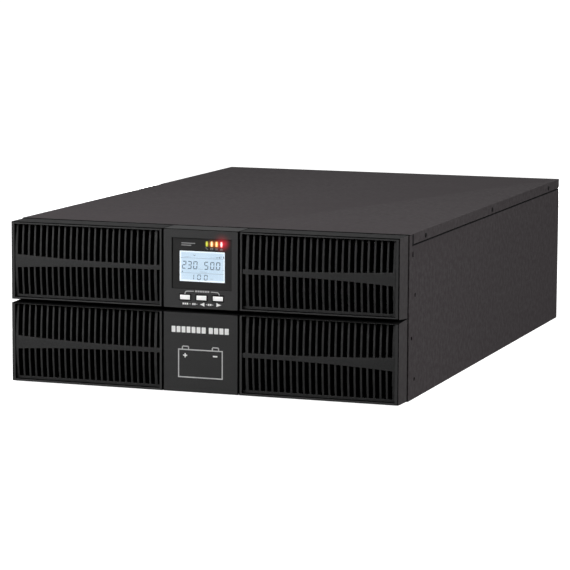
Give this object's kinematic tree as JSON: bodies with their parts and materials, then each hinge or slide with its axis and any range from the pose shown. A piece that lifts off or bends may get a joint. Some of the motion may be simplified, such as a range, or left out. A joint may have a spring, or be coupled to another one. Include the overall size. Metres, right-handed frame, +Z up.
{
  "type": "uninterruptible power supply",
  "caption": "Rack or tower uninterruptible power supply in a black steel case, with louvred front panels, a lit display module with push buttons and a sliding battery drawer below.",
  "frame": {"origin": "centre of the steel case's underside, on the surface it stands on", "axes": "+Z up, the front panels face -Y, +X to the right seen from the front"},
  "size_m": [0.439, 0.7149, 0.1752],
  "materials": {
    "case_paint": "fine textured powder coat",
    "bezel_plastic": "fine matte moulded texture",
    "louvre_plastic": "fine matte moulded texture",
    "overlay": "smooth satin film",
    "screen": "lit display",
    "clear_cover": "clear sheet",
    "light_pipe": "clear moulded",
    "button_white": "satin moulded",
    "circuit_board": "solder mask",
    "component_black": "moulded epoxy",
    "zinc_steel": "zinc plated",
    "black_screw": "black oxide",
    "fan_plastic": "moulded glass-filled",
    "guard_wire": "bright nickel wire",
    "aluminium": "extruded",
    "capacitor_sleeve": "shrink sleeve",
    "choke_wire": "enamelled copper winding",
    "relay_case": "moulded",
    "battery_case": "moulded",
    "battery_wire": "silicone insulation",
    "terminal_plastic": "moulded",
    "connector_green": "moulded",
    "connector_grey": "moulded",
    "brass": "machined",
    "lever_blue": "moulded",
    "runner": "low friction strip"
  },
  "bodies": {
    "root": {"chassis_tub": "case_paint", "top_cover": "case_paint", "rear_panel": "case_paint", "front_plate": "case_paint", "mid_shelf": "case_paint", "drawer_runners": "runner", "cover_screws": "black_screw", "fan_frames": "fan_plastic", "fan_guards": "guard_wire", "rear_screws": "zinc_steel", "terminal_block": "terminal_plastic", "terminal_screws": "zinc_steel", "terminal_cover": "case_paint", "cable_glands": "terminal_plastic", "input_breaker": "terminal_plastic", "serial_port": "zinc_steel", "usb_port": "zinc_steel", "shutdown_socket": "connector_green", "card_slot_cover": "case_paint", "slot_thumbscrews": "zinc_steel", "battery_socket": "connector_grey", "earth_stud": "brass", "earth_nut": "brass", "power_board": "circuit_board", "board_standoffs": "zinc_steel", "heatsinks": "aluminium", "bus_capacitors": "capacitor_sleeve", "chokes": "choke_wire", "transfer_relays": "relay_case", "control_board": "circuit_board"},
    "display_module": {"display_housing": "bezel_plastic", "display_overlay": "overlay", "lcd_module": "screen", "lcd_glass": "clear_cover", "light_pipes": "light_pipe", "display_board": "circuit_board", "indicator_leds": "light_pipe", "key_switches": "component_black", "board_screws": "zinc_steel", "display_back_cover": "bezel_plastic"},
    "left_key": {"button_left": "button_white"},
    "centre_key": {"button_centre": "button_white"},
    "right_key": {"button_right": "button_white"},
    "upper_left_front": {"upper_left_grille": "bezel_plastic", "upper_left_louvre": "louvre_plastic"},
    "upper_right_front": {"upper_right_grille": "bezel_plastic", "upper_right_louvre": "louvre_plastic"},
    "battery_drawer": {"battery_tray": "case_paint", "batteries": "battery_case", "battery_links": "battery_wire", "drawer_handle": "component_black", "battery_connector": "connector_grey"},
    "lower_left_front": {"lower_left_grille": "bezel_plastic", "lower_left_louvre": "louvre_plastic"},
    "lower_right_front": {"lower_right_grille": "bezel_plastic", "lower_right_louvre": "louvre_plastic"},
    "lower_centre_front": {"battery_panel": "bezel_plastic"},
    "fan_one": {"fan_one_rotor": "fan_plastic"},
    "fan_two": {"fan_two_rotor": "fan_plastic"},
    "breaker_toggle": {"breaker_lever": "lever_blue"}
  },
  "joints": [
    {"name": "display_pull", "type": "slide", "parent": "root", "child": "display_module", "axis": [0, -1, 0], "range_m": [0, 0.045]},
    {"name": "left_key_press", "type": "slide", "parent": "display_module", "child": "left_key", "axis": [0, 1, 0], "range_m": [0, 0.0006], "stiffness_N_per_m": 1500},
    {"name": "centre_key_press", "type": "slide", "parent": "display_module", "child": "centre_key", "axis": [0, 1, 0], "range_m": [0, 0.0006], "stiffness_N_per_m": 1500},
    {"name": "right_key_press", "type": "slide", "parent": "display_module", "child": "right_key", "axis": [0, 1, 0], "range_m": [0, 0.0006], "stiffness_N_per_m": 1500},
    {"name": "upper_left_pull", "type": "slide", "parent": "root", "child": "upper_left_front", "axis": [0, -1, 0], "range_m": [0, 0.06]},
    {"name": "upper_right_pull", "type": "slide", "parent": "root", "child": "upper_right_front", "axis": [0, -1, 0], "range_m": [0, 0.06]},
    {"name": "drawer_slide", "type": "slide", "parent": "root", "child": "battery_drawer", "axis": [0, -1, 0], "range_m": [0, 0.6]},
    {"name": "lower_left_pull", "type": "slide", "parent": "battery_drawer", "child": "lower_left_front", "axis": [0, -1, 0], "range_m": [0, 0.06]},
    {"name": "lower_right_pull", "type": "slide", "parent": "battery_drawer", "child": "lower_right_front", "axis": [0, -1, 0], "range_m": [0, 0.06]},
    {"name": "lower_centre_pull", "type": "slide", "parent": "battery_drawer", "child": "lower_centre_front", "axis": [0, -1, 0], "range_m": [0, 0.06]},
    {"name": "fan_one_spin", "type": "hinge", "parent": "root", "child": "fan_one", "pos_m": [0.165, 0.3268, 0.13], "axis": [0, 1, 0], "continuous": true},
    {"name": "fan_two_spin", "type": "hinge", "parent": "root", "child": "fan_two", "pos_m": [0.078, 0.3268, 0.13], "axis": [0, 1, 0], "continuous": true},
    {"name": "breaker_switch", "type": "hinge", "parent": "root", "child": "breaker_toggle", "pos_m": [0.009, 0.336, 0.119], "axis": [1, 0, 0], "range_deg": [-44, 0]}
  ]
}
